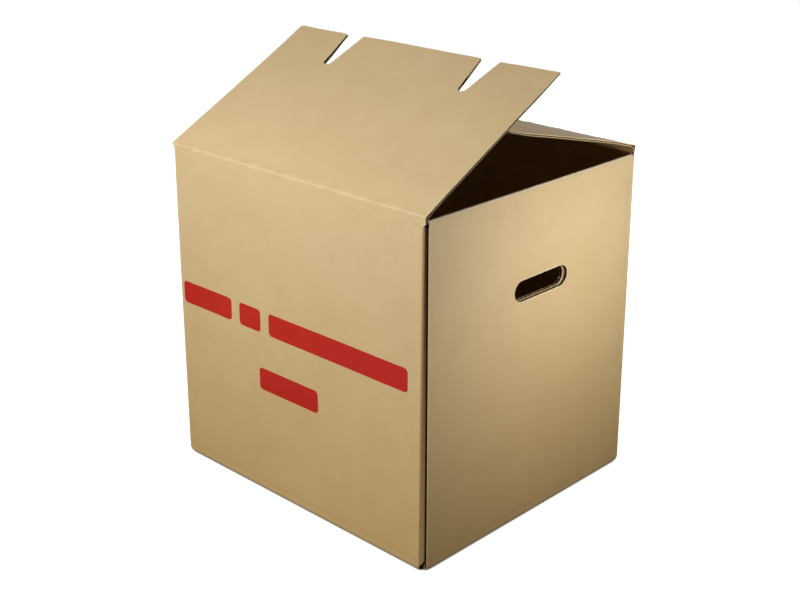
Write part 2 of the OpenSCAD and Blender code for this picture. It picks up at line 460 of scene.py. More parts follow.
def walk(u):
    """Points on the walls' outer face seen from above, their outward normals, and their stretches."""
    stretch = np.clip(np.searchsorted(STARTS, u, side="right") - 1, 0, len(STRETCHES) - 1)
    points, normals = np.zeros((len(u), 2)), np.zeros((len(u), 2))
    for i, (kind, start, stop) in enumerate(STRETCHES):
        here = stretch == i
        far = u[here] - STARTS[i]
        if kind == "line":
            along = (np.array(stop) - np.array(start)) / math.dist(start, stop)
            points[here] = np.array(start) + far[:, None] * along
            normals[here] = (-along[1], along[0])
        else:
            angle = np.radians(stop) - far / CORNER_R
            normals[here] = np.stack([np.cos(angle), np.sin(angle)], 1)
            points[here] = np.array(start) + CORNER_R * normals[here]
    return points, normals, stretch


def hollows(x, z, seed):
    """How far a wall stands out of its plane. x and z run from 0 to 1 over it."""
    from_edge = smooth(np.minimum(np.minimum(x, 1 - x), np.minimum(z, 1 - z)) / 0.18)
    return from_edge * WALL_WAVE * ripple(x * 2 * HALF_W, z * BOX_H, seed, WALL_WAVE_L)


def stands_out(u, v, stretch):
    """Gentle unevenness of the four walls, and the dents beside their folds."""
    out = np.zeros(len(u))
    for seed, wall in enumerate((FRONT, LEFT, REAR, RIGHT), 11):
        here = (stretch == wall) & (v > CORNER_R) & (v < WALL_TOP)
        from_left = u[here] - STARTS[wall]
        from_right = STARTS[wall + 1] - u[here]
        up = v[here] - CORNER_R
        lift = hollows(from_left / (STARTS[wall + 1] - STARTS[wall]), up / (WALL_TOP - CORNER_R), seed)
        # the far end of the right wall is a raw edge and not a fold
        folds = (from_left, up) if wall == RIGHT else (from_left, from_right, up)
        for far in folds:
            lift = lift - DENT * hump(far, DENT_AT, DENT_W)
        out[here] = lift
    return out


def place_tab_fold(u, v, inwards):
    """Seen from above, the corner at the glue tab: the end of the front wall, a crisp fold and a strip."""
    share = (u - STARTS[TAB_FOLD]) / (STARTS[FRONT] - STARTS[TAB_FOLD])
    fold_x = np.clip(TAB_FOLD_X + TAB_FOLD_LEAN * v / BOX_H, 0, HALF_W - BOARD_T)
    start_x, start_y, stop_x = TAB_X, -CORNER_Y, TAB_X - CORNER_R

    def crisp(share):
        """Two straight stretches that meet at the fold."""
        to_fold = np.clip(share / TAB_BEND, 0, 1)
        past_fold = np.clip((share - TAB_BEND) / (1 - TAB_BEND), 0, 1)
        x = np.where(share < TAB_BEND, start_x + (fold_x - start_x) * to_fold,
                     fold_x + (stop_x - fold_x) * past_fold)
        y = np.where(share < TAB_BEND, start_y + (-HALF_D - start_y) * to_fold, -HALF_D)
        return np.stack([x, y], 1)

    soft = TAB_BEND_SOFT
    t = np.clip((share - TAB_BEND + soft) / (2 * soft), 0, 1)[:, None]
    before, after = (crisp(np.full(len(share), TAB_BEND + side * soft)) for side in (-1, 1))
    tip = np.stack([fold_x, np.full(len(share), -HALF_D)], 1)
    curve = (1 - t) ** 2 * before + 2 * t * (1 - t) * tip + t * t * after
    outer = np.where((np.abs(share - TAB_BEND) < soft)[:, None], curve, crisp(share))
    angle = -share * math.pi / 2
    around = np.stack([np.cos(angle), np.sin(angle)], 1)
    inner = np.array([stop_x, -CORNER_Y]) + (CORNER_R - BOARD_T) * around
    depth = (inwards / BOARD_T)[:, None]
    bent = outer * (1 - depth) + inner * depth
    # above the tab the end of the front wall stays flat, and so does its foot
    flat = np.stack([stop_x + (1 - share) * (STARTS[FRONT] - STARTS[TAB_FOLD]), -HALF_D + inwards], 1)
    foot = np.stack([crisp(np.maximum(share, TAB_BEND))[:, 0], -HALF_D + inwards], 1)
    return np.where((v > TAB_TOP + 0.01)[:, None], flat, np.where((v < CORNER_R)[:, None], foot, bent))


def place_body(u, v, w):
    """Folds the flat body into the box."""
    u, v, w = (np.asarray(a, float) for a in np.broadcast_arrays(u, v, w))
    points, normals, stretch = walk(u)
    end_wall = (stretch == LEFT) | (stretch == RIGHT)
    # the fold at the foot, and the base flap, which steps up where it lies on another
    below = CORNER_R - v
    angle = np.clip(below, 0, CORNER_ARC) / CORNER_R
    run = np.maximum(below - CORNER_ARC, 0)
    step_up = np.where(end_wall, (BOARD_T + PLY_GAP) * smooth(run / FLAP_STEP_L), 0)
    at_base = v < CORNER_R
    inwards = np.where(at_base, CORNER_R - (CORNER_R + w) * np.cos(angle) + run, -w)
    z = np.where(at_base, CORNER_R - (CORNER_R + w) * np.sin(angle) + step_up, v)
    # the doubled top of an end wall, pressed down a little on its inner side
    above = v - WALL_TOP
    angle = np.clip(above, 0, TOP_ARC) / TOP_R
    at_top = end_wall & (v > WALL_TOP)
    inwards = np.where(at_top, TOP_R - (TOP_R + w) * np.cos(angle), inwards)
    top_z = WALL_TOP + (TOP_R + w) * np.sin(angle) - np.maximum(above - TOP_ARC, 0)
    z = np.where(at_top, top_z - TOP_PRESS * hump(angle, 2.0, 0.75), z)
    inwards = inwards - stands_out(u, v, stretch)
    xy = points - normals * inwards[:, None]
    at_tab = stretch == TAB_FOLD
    xy[at_tab] = place_tab_fold(u[at_tab], v[at_tab], inwards[at_tab])
    return np.column_stack([xy, z])


def outer_flap(left, left_cut, right, right_cut):
    """An outer base flap from its left cut to the corner on its right, as corners of the outline."""
    low = BASE_FOLD - OUTER_FLAP_L
    return [(left + left_cut, BASE_FOLD, 0.8), (left + left_cut, low, 8),
            (right - right_cut, low, 8), (right - right_cut, BASE_FOLD, 0.8),
            (right - HAIR, BASE_FOLD, 0.8), (right - HAIR, CORNER_R, 0.8)]


def inner_flap(left, right):
    """An inner base flap, as corners of the outline."""
    low = BASE_FOLD - INNER_FLAP_L
    return [(left, CORNER_R, 0.8), (left, low, 8), (right, low, 8), (right, CORNER_R, 0.8)]


def inner_ply(middle, right_end):
    """The inner ply above an end wall, from its right end to its left, as corners of the outline."""
    foot = PLY_START + (PLY_H - TOP_R)
    left, right, taper = middle - PLY_HALF, middle + PLY_HALF, PLY_START + PLY_TAPER
    return [(min(middle + CORNER_Y, right_end), PLY_START, 0.8), (right, taper, 2.0), (right, foot, 2.4),
            (left, foot, 2.0), (left, taper, 0.8), (middle - CORNER_Y + HAIR, PLY_START, 1.5)]


def body_outline():
    """The die-cut body in (u, v). The third number of a corner is the step between points on the side
    that starts there, which is coarser where the side is hidden."""
    # the tab's foot slants up to its long edge, which stands at u = 0 and has its corners cut off
    cut_u, cut_v = 29.0, 9.0
    corners = [(0, 21, 2.0), (cut_u, 12, 1.0), (STARTS[TAB_FOLD] + 1.0, cut_v, 1.0)]
    corners += [(TAB_BEND_U, CORNER_R + 0.3, 0.8), (TAB_BEND_U, BASE_FOLD, 0.8)]
    corners += outer_flap(STARTS[FRONT], FLAP_CUT_BACK_TAB, STARTS[FRONT_LEFT], FLAP_CUT_BACK)
    corners += inner_flap(STARTS[LEFT] + FLAP_SIDE_GAP, STARTS[REAR_LEFT] - FLAP_SIDE_GAP)
    corners += [(STARTS[REAR] + HAIR, CORNER_R, 0.8), (STARTS[REAR] + HAIR, BASE_FOLD, 0.8)]
    corners += outer_flap(STARTS[REAR], FLAP_CUT_BACK, STARTS[REAR_RIGHT], FLAP_CUT_BACK)
    corners += inner_flap(STARTS[RIGHT] + FLAP_SIDE_GAP, RAW_EDGE - FLAP_JOINT_GAP)
    corners += [(RAW_EDGE, CORNER_R + 2.5, 4.0), (RAW_EDGE, WALL_TOP, 1.0)]
    corners += inner_ply(MID_RIGHT, RAW_EDGE)
    corners += [(STARTS[RIGHT] + HAIR, WALL_TOP, 0.8), (STARTS[REAR_RIGHT] + 4.0, REAR_TOP, 4.0)]
    corners += [(STARTS[REAR] - 4.0, REAR_TOP, 1.5), (STARTS[REAR_LEFT] - HAIR, WALL_TOP, 1.5)]
    corners += inner_ply(MID_LEFT, STARTS[REAR_LEFT])
    corners += [(STARTS[LEFT] + HAIR, WALL_TOP, 1.0), (STARTS[FRONT_LEFT] + 4.0, FRONT_TOP, 4.0)]
    corners += [(STARTS[TAB_FOLD] + 0.1, FRONT_TOP, 1.5), (TAB_BEND_U, TAB_TOP, 1.0)]
    corners += [(cut_u, TAB_TOP, 2.0), (0, TAB_TOP - cut_v, 4.0)]
    return resample(corners)


def hand_slots():
    """The slots in (u, v): in each end wall first the outer ply's, then the inner ply's."""
    half = SLOT_L / 2 - SLOT_R
    out = []
    for middle, forward in ((MID_LEFT + SLOT_BACK, -SLOT_FORWARD), (MID_RIGHT - SLOT_BACK, SLOT_FORWARD)):
        # the inner ply hangs from the top fold, so v runs down it
        ply_v = 2 * WALL_TOP + TOP_ARC - SLOT_Z - SLOT_UP
        for u, v, round_count, flat_count in ((middle, SLOT_Z, 41, 85), (middle + forward, ply_v, 29, 57)):
            flat = np.linspace(0, 2 * half, flat_count)[:-1]
            slot = arc(u + half, v, SLOT_R, -90, 90, round_count)[:-1]
            slot += [(u + half - x, v + SLOT_R) for x in flat]
            slot += arc(u - half, v, SLOT_R, 90, 270, round_count)[:-1]
            slot += [(u - half + x, v - SLOT_R) for x in flat]
            out.append(np.array(slot))
    return out


def printed_bars():
    """Plain bars with round corners on the front wall, in (u, v)."""
    out = []
    for left, right, low, high in BARS:
        # u runs to the left on the front wall
        far_left = STARTS[FRONT_LEFT] + CORNER_R - left - BAR_R
        far_right = STARTS[FRONT_LEFT] + CORNER_R - right + BAR_R
        bar = arc(far_right, low + BAR_R, BAR_R, 180, 270, 7) + arc(far_left, low + BAR_R, BAR_R, 270, 360, 7)
        bar += arc(far_left, high - BAR_R, BAR_R, 0, 90, 7) + arc(far_right, high - BAR_R, BAR_R, 90, 180, 7)
        out.append(resample([(x, y, 6.0) for x, y in bar]))
    return out


def body_lines():
    """Extra lines of the grid: through every fold, and close beside it."""
    across, up = [], []
    for i in CORNERS:
        across += list(np.linspace(STARTS[i], STARTS[i + 1], 7))
        across += [end for far in (3, 6, 10) for end in (STARTS[i] - far, STARTS[i + 1] + far)]
    bend, half = TAB_BEND, TAB_BEND_SOFT / 2
    shares = (0.03, 0.2, bend - TAB_BEND_SOFT, bend - half, bend, bend + half, bend + TAB_BEND_SOFT)
    across += [STARTS[TAB_FOLD] + share * (STARTS[FRONT] - STARTS[TAB_FOLD]) for share in shares]
    up += list(np.linspace(WALL_TOP, PLY_START, 9)) + list(np.linspace(BASE_FOLD, CORNER_R, 6))
    up += [CORNER_R + far for far in (3, 6, 10)] + [BASE_FOLD - far for far in (2, 4, 6, 8)]
    up += [TAB_TOP - 2.0, TAB_TOP - 4.0]
    return across, up


def rows_beside_cuts(slots):
    """Rows of points just outside each hand slot, and beside the raw edge of the right wall."""
    out = []
    for slot in slots:
        along = np.roll(slot, -1, 0) - np.roll(slot, 1, 0)
        normal = np.stack([along[:, 1], -along[:, 0]], 1) / np.linalg.norm(along, axis=1)[:, None]
        out += [(slot + normal * far)[::2] for far in (1.3, 2.6)]
    v = np.arange(CORNER_R + 4, WALL_TOP - 2, 2.0)
    out += [np.column_stack([np.full(len(v), RAW_EDGE - far), v]) for far in (1.4, 2.8)]
    return np.vstack(out)


def slot_gap(u, v, near):
    """Distance to the nearest hand slot for the points that may be near one, and 99 mm for the others."""
    out = np.full(len(u), 99.0)
    out[near] = np.sqrt(square_gap(np.stack([u[near], v[near]], 1), np.vstack(SLOTS)[::3]))
    return out


def body_wear(u, v):
    """Pale lines: rubbed upright folds, foot and raw edge, and painted highlights along the top folds of the
    end walls, on the glued strip beside the joint, on the tab's top end and round the hand slots.
    """
    stretch = walk(u)[2]
    end_wall = (stretch == LEFT) | (stretch == RIGHT)
    wall = (v > CORNER_R) & (v < WALL_TOP)
    at_tab = (stretch == TAB_FOLD) & (u < TAB_BEND_U)
    strip = at_tab & (v < TAB_TOP) & (u < TAB_BEND_U - 0.2)
    # painted highlight along the top folds of the end walls, with their rubbed fibres
    rub_and_highlight = np.where(end_wall, 1.7 * hump(v, WALL_TOP + 4.3, 1.6), 0.0)
    for i in (FRONT_LEFT, REAR_LEFT, REAR_RIGHT):
        strength = 0.22 + 0.12 * ripple(v, u * 0, 40 + i, 60)
        rub_and_highlight = rub_and_highlight + np.where(wall, strength * hump(u, (STARTS[i] + STARTS[i + 1]) / 2, 2.2), 0)
    # painted highlight on the glued strip beside the joint
    rub_and_highlight = rub_and_highlight + np.where(strip, 0.25 * hump(u, STARTS[TAB_FOLD] + 1.4, 1.2), 0)
    # painted highlight on the tab's top end, with its torn liner
    rub_and_highlight = rub_and_highlight + np.where(at_tab, 1.0 * hump(v, TAB_TOP, 2.6), 0)
    rub_and_highlight = rub_and_highlight + np.where(wall, 0.12 * hump(u, RAW_EDGE, 1.0), 0)
    rub_and_highlight = rub_and_highlight + 0.35 * hump(v, CORNER_R - CORNER_ARC / 2, 2.0)
    # painted highlight round the hand slots, with their rubbed rims
    return np.clip(rub_and_highlight + 0.7 * hump(slot_gap(u, v, wall & end_wall), 0, 1.0), 0, 1)


def ply_wear(u, v):
    """Painted highlight on the inner ply's liner round its hand slots."""
    return hump(slot_gap(u, v, v > PLY_START), 0, 4.0)


def body_warm_tint_and_shade(u, v):
    """A warm, browner tint: painted shade that grows towards the floor, and a tint on the narrow strip at the
    glued corner.
    """
    strip = (u > STARTS[TAB_FOLD]) & (u < STARTS[FRONT] - 0.5) & (v < TAB_TOP)
    return np.clip(np.clip(1 - v / 330, 0, 1) + 0.6 * strip, 0, 1)


def at_raw_edge(points):
    """Which points of a cut are on the raw edge beside the joint, which is rubbed over; there the inner
    liner's cut has the dark core colour, which is painted shade.
    """
    return points[:, 0] > RAW_EDGE - 0.01


def make_body():
    mesh = BoardMesh()
    lay_board(mesh, body_outline(), SLOTS, place_body, phase=1.1, lines=body_lines(), marks=printed_bars(),
              extra=rows_beside_cuts(SLOTS), wear=body_wear, inner_painted_highlight=ply_wear, low=body_warm_tint_and_shade,
              pressed=at_raw_edge)
    body = mesh.build("carton_body")
    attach(body, "box_body")
    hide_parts("box_body")


# The lids. x runs along the crease, and s from it to the free edge.

def lid_outline(left_r, right_r):
    """A lid from the soft part beside its crease to its free edge, with corners worn to two radii."""
    straight = NOTCH_L - NOTCH_R
    # the angle at which a notch's round bottom meets its slanted sides
    angle = math.atan2(straight, NOTCH_HALF) - math.acos(NOTCH_R / math.hypot(NOTCH_HALF, straight))
    turn = math.degrees(angle)
    corners = [(-LID_HALF, HINGE_L, 1.5), (LID_HALF, HINGE_L, 6)]
    corners += [(*p, 0.65) for p in arc(LID_HALF - right_r, LID_L - right_r, right_r, 0, 90, 6)]
    for x in (NOTCH_X, -NOTCH_X):
        corners += [(x + NOTCH_HALF + 1.2, LID_L, 0.5), (x + NOTCH_HALF - 0.15, LID_L - 1.4, 0.9)]
        corners += [(*p, 0.9) for p in arc(x, LID_L - NOTCH_L + NOTCH_R, NOTCH_R, turn, -180 - turn, 26)]
        corners += [(x - NOTCH_HALF + 0.15, LID_L - 1.4, 0.5), (x - NOTCH_HALF - 1.2, LID_L, 0.65)]
    corners += [(*p, 6) for p in arc(-LID_HALF + left_r, LID_L - left_r, left_r, 90, 180, 6)]
    return resample(corners)


def spread_out(x, spread, share):
    """Moves points near the ends of a crease outwards."""
    tip = np.clip((np.abs(x) - (LID_HALF - SPREAD_L)) / SPREAD_L, 0, 1) ** 2
    return x + np.sign(x) * np.where(x < 0, spread[0], spread[1]) * tip * share


def lid_placer(crease_y, crease_z, angle, way, shape, spread):
    """Gives place() for a lid that reaches from its crease along way * Y and up by the angle."""
    cos, sin = math.cos(angle), math.sin(angle)

    def place(x, s, w):
        x, s, w = (np.asarray(a, float) for a in np.broadcast_arrays(x, s, w))
        # the board is pressed thinner at the ends and towards the free edge
        thin_side = 1 - 0.34 * smooth((np.abs(x) - (LID_HALF - 8)) / 8.0)
        thin_edge = 1 - 0.4 * smooth((s - LID_L + 45) / 45.0)
        up = w * thin_side * thin_edge + shape(x, s)
        x = spread_out(x, spread, np.exp(-(s - HINGE_L) / 22.0))
        return np.column_stack([x, crease_y + way * (s * cos - up * sin), crease_z + s * sin + up * cos])

    return place


def from_root(s, length):
    """Lets a lid's shape start from nothing at its soft part."""
    return smooth((s - HINGE_L) / length)


def arch(s, length):
    """A low arch behind the crease, highest at this length."""
    return (s / length) * np.exp(1 - s / length)


def front_shape(x, s):
    """The front lid's arch and waves, and the crumpled tips beside its notches."""
    out = 0.45 * arch(s, 42.0) * from_root(s, 25.0) + 0.5 * from_root(s, 90.0) * ripple(x, s, 5, 190)
    tips = ((-0.7, 128, 9, LID_L, 13), (-0.7, -121, 4, LID_L - 3, 9), (0.8, -LID_HALF, 14, LID_L, 16))
    for lift, at_x, width_x, at_s, width_s in tips:
        out = out + lift * hump(x, at_x, width_x) * hump(s, at_s, width_s)
    return out


def rear_shape(x, s):
    """The rear lid's arch and waves, and the sag of its free edge."""
    out = 1.2 * arch(s, 40.0) * from_root(s, 25.0) + 0.25 * from_root(s, 25.0) * ripple(x, s, 9, 190)
    return out - 1.2 * hump(s, LID_L, 60) * smooth((s - 60) / 100)


def make_lid(name, body, crease_y, crease_z, angle, way, shape, worn, phase, liner):
    mesh = BoardMesh()
    place = lid_placer(crease_y, crease_z, angle, way, shape, SPREAD[body])
    lines = ([-LID_HALF + 3, LID_HALF - 3], [HINGE_L + 3, HINGE_L + 6, LID_L - 3])
    lay_board(mesh, lid_outline(*worn), [], place, phase, lines, liner)
    lid = mesh.build(name)
    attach(lid, body)
    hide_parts(body)


# The creases

def crease_section(angle, below):
    """Section of a crease from wall to lid, as points (inwards, up) from its line.
    Gives the outer face, the inner face, and the number of the outer point on the fold's ridge."""
    along = np.array([math.cos(angle), math.sin(angle)])
    inwards = np.array([math.sin(angle), -math.cos(angle)])
    wall, wall_end = np.array([0.0, -below]), np.array([0.0, -1.7])
    lid_start, lid = 1.8 * along, HINGE_L * along
    outer = [wall, wall + (wall_end - wall) * 0.33, wall + (wall_end - wall) * 0.66]
    ridge = len(outer) + 4
    outer += [(1 - t) ** 2 * wall_end + t * t * lid_start for t in np.linspace(0, 1, 9)]
    outer += [lid_start + (lid - lid_start) * t for t in (0.25, 0.5, 0.75, 1)]
    # the inner face is a curve that is drawn towards a point inside the fold
    half_way = angle / 2 - math.pi / 4
    pinch = 2.3 * np.array([math.cos(half_way), math.sin(half_way)])
    start, stop = wall + np.array([BOARD_T, 0]), lid + BOARD_T * inwards
    first = (start + np.array([0, below * 0.45])) * 0.55 + pinch * 0.45
    second = (stop - along * HINGE_L * 0.45) * 0.55 + pinch * 0.45
    inner = []
    for t in np.linspace(0, 1, len(outer)):
        inner.append((1 - t) ** 3 * start + 3 * (1 - t) ** 2 * t * first
                     + 3 * (1 - t) * t * t * second + t ** 3 * stop)
    return outer, inner, ridge


def crease_ends(mesh, outer_rows, inner_rows, forward):
    """The raw ends of a crease: both liners, with the crushed flutes set back between them."""
    points = np.vstack(mesh.points)
    count = len(outer_rows)
    last = len(points) // (2 * count) - 1
    for end, set_back in ((0, 1.2), (last, -1.2)):
        outer, inner = [r + end for r in outer_rows], [r + end for r in inner_rows]
        rows = [outer]
        for share, moved in ((0.14, 0), (0.16, set_back), (0.84, set_back), (0.86, 0)):
            at = points[outer] + (points[inner] - points[outer]) * share + np.array([moved, 0, 0])
            first = mesh.add(at, np.stack([at[:, 1] * 0, at[:, 2]], 1))
            rows.append([first + i for i in range(count)])
        rows.append(inner)
        # the set-back flutes have the dark core colour, partly painted shade
        for a, b, finish in zip(rows, rows[1:], (CUT, CORE_AND_SHADE, CORE_AND_SHADE, CORE_AND_SHADE, CUT)):
            faces = np.array([[a[i], a[i + 1], b[i + 1], b[i]] for i in range(count - 1)])
            mesh.faces(faces if (end == 0) == forward else faces[:, ::-1], finish)


def make_crease(name, lid, crease_y, crease_z, angle, way, wall_top, wraps, seed):
    """Soft board across a crease, shaped for the lid's angle at rest. wraps says whether its left and right
    ends follow the wall round a corner."""
    below = crease_z - wall_top
    outer, inner, ridge = crease_section(angle, below)
    count = len(outer)
    end = LID_HALF - SPREAD_L
    xs = np.concatenate([np.linspace(-LID_HALF, -end, 13), np.linspace(2 - end, end - 2, 189),
                         np.linspace(end, LID_HALF, 13)])
    level = np.zeros_like(xs)
    wander = 0.8 * ripple(xs, level, seed, 70)
    patches = 0.8 + 0.3 * ripple(xs, level, seed + 1, 30)
    wrinkle = ripple(xs, level, seed + 2, 16)
    swell_in = -0.12 - 0.15 * wander - 0.2 * wrinkle
    swell_up = 0.06 + 0.2 * wander + (0.55 if way > 0 else 0.3) * wrinkle
    swell = np.column_stack([swell_in, swell_up])
    round_corner = np.clip(np.abs(xs) - CORNER_X, 0, LID_HALF - CORNER_X) / CORNER_R
    mesh = BoardMesh()
    outer_rows, inner_rows = [], []
    for i in range(count):
        at = outer[i] + math.sin(math.pi * i / (count - 1)) ** 2 * swell
        # the lowest rows follow the wall round its corner, the fold itself spreads at its ends
        wrap = max(0.0, 1 - i / 6.0) * np.where(xs < 0, wraps[0], wraps[1])
        inwards = at[:, 0] + wrap * CORNER_R * (1 - np.cos(round_corner))
        drawn_in = wrap * (round_corner * CORNER_R - CORNER_R * np.sin(round_corner))
        x = spread_out(xs, SPREAD[lid], smooth(i / ridge)) - np.sign(xs) * drawn_in
        far = np.sign(i - ridge) * np.linalg.norm(outer[i] - outer[ridge])
        # a faint pale line along the ridge, which is painted highlight
        outer_rows.append(mesh.add(np.column_stack([x, crease_y + way * inwards, crease_z + at[:, 1]]),
                                   np.column_stack([xs, level + 380 + 1.1 * i]),
                                   0.05 * hump(far, wander, 3.4) * patches))
        inner_y, inner_z = crease_y + way * inner[i][0], crease_z + inner[i][1]
        inner_rows.append(mesh.add(np.column_stack([xs, level + inner_y, level + inner_z]),
                                   np.column_stack([xs, level + 300 + 1.1 * i])))
    numbers = np.arange(len(xs) - 1)
    for i in range(count - 1):
        for rows, finish in ((outer_rows, OUTER), (inner_rows, INNER)):
            a, b = rows[i] + numbers, rows[i + 1] + numbers
            faces = np.stack([a, a + 1, b + 1, b], 1)
            mesh.faces(faces if (way > 0) == (finish == OUTER) else faces[:, ::-1], finish)
    crease_ends(mesh, outer_rows, inner_rows, way > 0)
    made = mesh.build(name)
    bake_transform(made)


# Materials

def srgb(*levels):
    """A colour from its three levels of 0 to 255, with full cover."""
    shares = [level / 255 for level in levels]
    return (*(c / 12.92 if c <= 0.04045 else ((c + 0.055) / 1.055) ** 2.4 for c in shares), 1)


def node(tree, kind, inputs=None, **settings):
    """A new node. Each of its inputs, by name or number, is given a value or another node's output."""
    made = tree.nodes.new(kind)
    for key, value in settings.items():
        setattr(made, key, value)
    for key, value in (inputs or {}).items():
        if isinstance(value, bpy.types.NodeSocket):
            tree.links.new(value, made.inputs[key])
        else:
            made.inputs[key].default_value = value
    return made


def maths(tree, operation, *values, clamp=False):
    inputs = dict(enumerate(values))
    return node(tree, "ShaderNodeMath", inputs, operation=operation, use_clamp=clamp).outputs[0]


def noise(tree, where, scale, detail, **more):
    inputs = {"Vector": where, "Scale": scale, "Detail": detail, **more}
    return node(tree, "ShaderNodeTexNoise", inputs).outputs["Fac"]


def stretched(tree, value, low, high, **more):
    """Takes the range from low to high to the range from 0 to 1, or to another one."""
    inputs = {"Value": value, "From Min": low, "From Max": high, **more}
    return node(tree, "ShaderNodeMapRange", inputs).outputs["Result"]


def mixed(tree, factor, a, b, blend="MIX"):
    """Two colours mixed. The Mix node's sockets for colours are the inputs 6 and 7, and the output 2."""
    inputs = {"Factor": factor, 6: a, 7: b}
    return node(tree, "ShaderNodeMix", inputs, data_type="RGBA", blend_type=blend).outputs[2]


def kraft_group():
    """Colour and height of unbleached paper: pulp clouds, fibres along the flutes, flecks, pale rubbed places
    with painted highlights, a warm tint of painted shade, and faint lines where the flutes show through."""
    tree = bpy.data.node_groups.new("kraft_paper", "ShaderNodeTree")
    for name in ("Base", "Dark", "Rubbed and highlight"):
        tree.interface.new_socket(name=name, in_out="INPUT", socket_type="NodeSocketColor")
    for name in ("Flecks", "Washboard"):
        tree.interface.new_socket(name=name, in_out="INPUT", socket_type="NodeSocketFloat")
    tree.interface.new_socket(name="Color", in_out="OUTPUT", socket_type="NodeSocketColor")
    tree.interface.new_socket(name="Height", in_out="OUTPUT", socket_type="NodeSocketFloat")
    given = tree.nodes.new("NodeGroupInput").outputs
    uv = node(tree, "ShaderNodeUVMap", uv_map="board").outputs["UV"]
    along = node(tree, "ShaderNodeMapping", {"Vector": uv, "Scale": (1.0, 0.22, 1)}).outputs["Vector"]
    fibres = noise(tree, along, scale=900, detail=4, Roughness=0.7)
    clouds = noise(tree, uv, scale=26, detail=5, Roughness=0.62)
    wide_clouds = noise(tree, uv, scale=7, detail=2)
    u = node(tree, "ShaderNodeSeparateXYZ", {"Vector": uv}).outputs["X"]
    flutes = maths(tree, "SINE", maths(tree, "MULTIPLY", u, 2 * math.pi / (FLUTE_PITCH * MM)))
    washboard = maths(tree, "MULTIPLY", flutes, given["Washboard"])
    # light and dark of the pulp, around the middle between the two colours of the paper
    pulp = maths(tree, "MULTIPLY_ADD", fibres, 0.30, maths(tree, "MULTIPLY", wide_clouds, 0.35))
    pulp = maths(tree, "MULTIPLY_ADD", clouds, 0.5, pulp)
    pulp = maths(tree, "MULTIPLY_ADD", washboard, 0.012, pulp)
    color = mixed(tree, stretched(tree, pulp, low=0.42, high=0.74), given["Dark"], given["Base"])
    # a few of the cells of a cell pattern have a brown fleck at their centre
    cells = node(tree, "ShaderNodeTexVoronoi", {"Vector": uv, "Scale": 95}).outputs
    draw = node(tree, "ShaderNodeSeparateColor", {"Color": cells["Color"]}).outputs["Red"]
    centre = maths(tree, "LESS_THAN", cells["Distance"], 0.04)
    chosen = maths(tree, "LESS_THAN", draw, 0.035)
    fleck = maths(tree, "MULTIPLY", maths(tree, "MULTIPLY", centre, chosen), given["Flecks"])
    color = mixed(tree, fleck, color, srgb(92, 66, 40))
    # folds and rims are paler, in a broken line: partly rubbed by hands and shelves, partly painted highlight
    worn = node(tree, "ShaderNodeAttribute", attribute_name="wear").outputs["Fac"]
    patches = noise(tree, uv, scale=160, detail=3)
    patches = stretched(tree, patches, low=0.32, high=0.58, **{"To Min": 0.55})
    color = mixed(tree, maths(tree, "MULTIPLY", worn, patches, clamp=True), color, given["Rubbed and highlight"])
    # painted shade: towards the floor the paper gets a warm, browner tint
    low = node(tree, "ShaderNodeAttribute", attribute_name="low").outputs["Fac"]
    color = mixed(tree, low, color, (1.0, 0.90, 0.70, 1), "MULTIPLY")
    height = maths(tree, "MULTIPLY_ADD", washboard, 0.35, fibres)
    node(tree, "NodeGroupOutput", {"Color": color, "Height": height})
    return tree


def paper(name, base, dark, rubbed, rough=0.68, flecks=1.0, washboard=1.0):
    """A material of unbleached paper."""
    grain_h = 0.035 * MM
    made = bpy.data.materials.new(name)
    made.use_nodes = True
    made.diffuse_color = base
    tree = made.node_tree
    tree.nodes.clear()
    group = node(tree, "ShaderNodeGroup", node_tree=KRAFT)
    for key, value in (("Base", base), ("Dark", dark), ("Rubbed and highlight", rubbed), ("Flecks", flecks),
                       ("Washboard", washboard)):
        group.inputs[key].default_value = value
    grain = node(tree, "ShaderNodeBump", {
        "Strength": 1.0, "Distance": grain_h, "Height": group.outputs["Height"]})
    shader = node(tree, "ShaderNodeBsdfPrincipled", {
        "Base Color": group.outputs["Color"], "Normal": grain.outputs["Normal"],
        "Roughness": rough, "Specular IOR Level": 0.24})
    node(tree, "ShaderNodeOutputMaterial", {"Surface": shader.outputs["BSDF"]})
    return made


# The studio: floor, camera, lamps and world

def make_floor():
    """A dull floor that the camera sees as white, with a little shade close under the box."""
    made = bpy.data.materials.new("studio_floor")
    made.use_nodes = True
    tree = made.node_tree
    tree.nodes.clear()
    near = node(tree, "ShaderNodeAmbientOcclusion", {"Distance": 0.02}).outputs["AO"]
    shade = stretched(tree, near, low=0.12, high=0.42)
    white = node(tree, "ShaderNodeEmission", {"Color": (1, 1, 1, 1), "Strength": shade})
    pale = node(tree, "ShaderNodeBsdfDiffuse", {"Color": (0.35, 0.35, 0.35, 1)})
    seen = node(tree, "ShaderNodeAddShader", {0: pale.outputs[0], 1: white.outputs[0]})
    dull = node(tree, "ShaderNodeBsdfDiffuse", {"Color": (0.10, 0.10, 0.095, 1)})
    ray = node(tree, "ShaderNodeLightPath").outputs["Is Camera Ray"]
    both = node(tree, "ShaderNodeMixShader", {"Fac": ray, 1: dull.outputs[0], 2: seen.outputs[0]})
    node(tree, "ShaderNodeOutputMaterial", {"Surface": both.outputs[0]})
    bpy.ops.mesh.primitive_plane_add(size=12, location=(0, 0, -0.5 * MM))
    floor = bpy.context.object
    floor.name = "studio_floor"
    floor.data.materials.append(made)


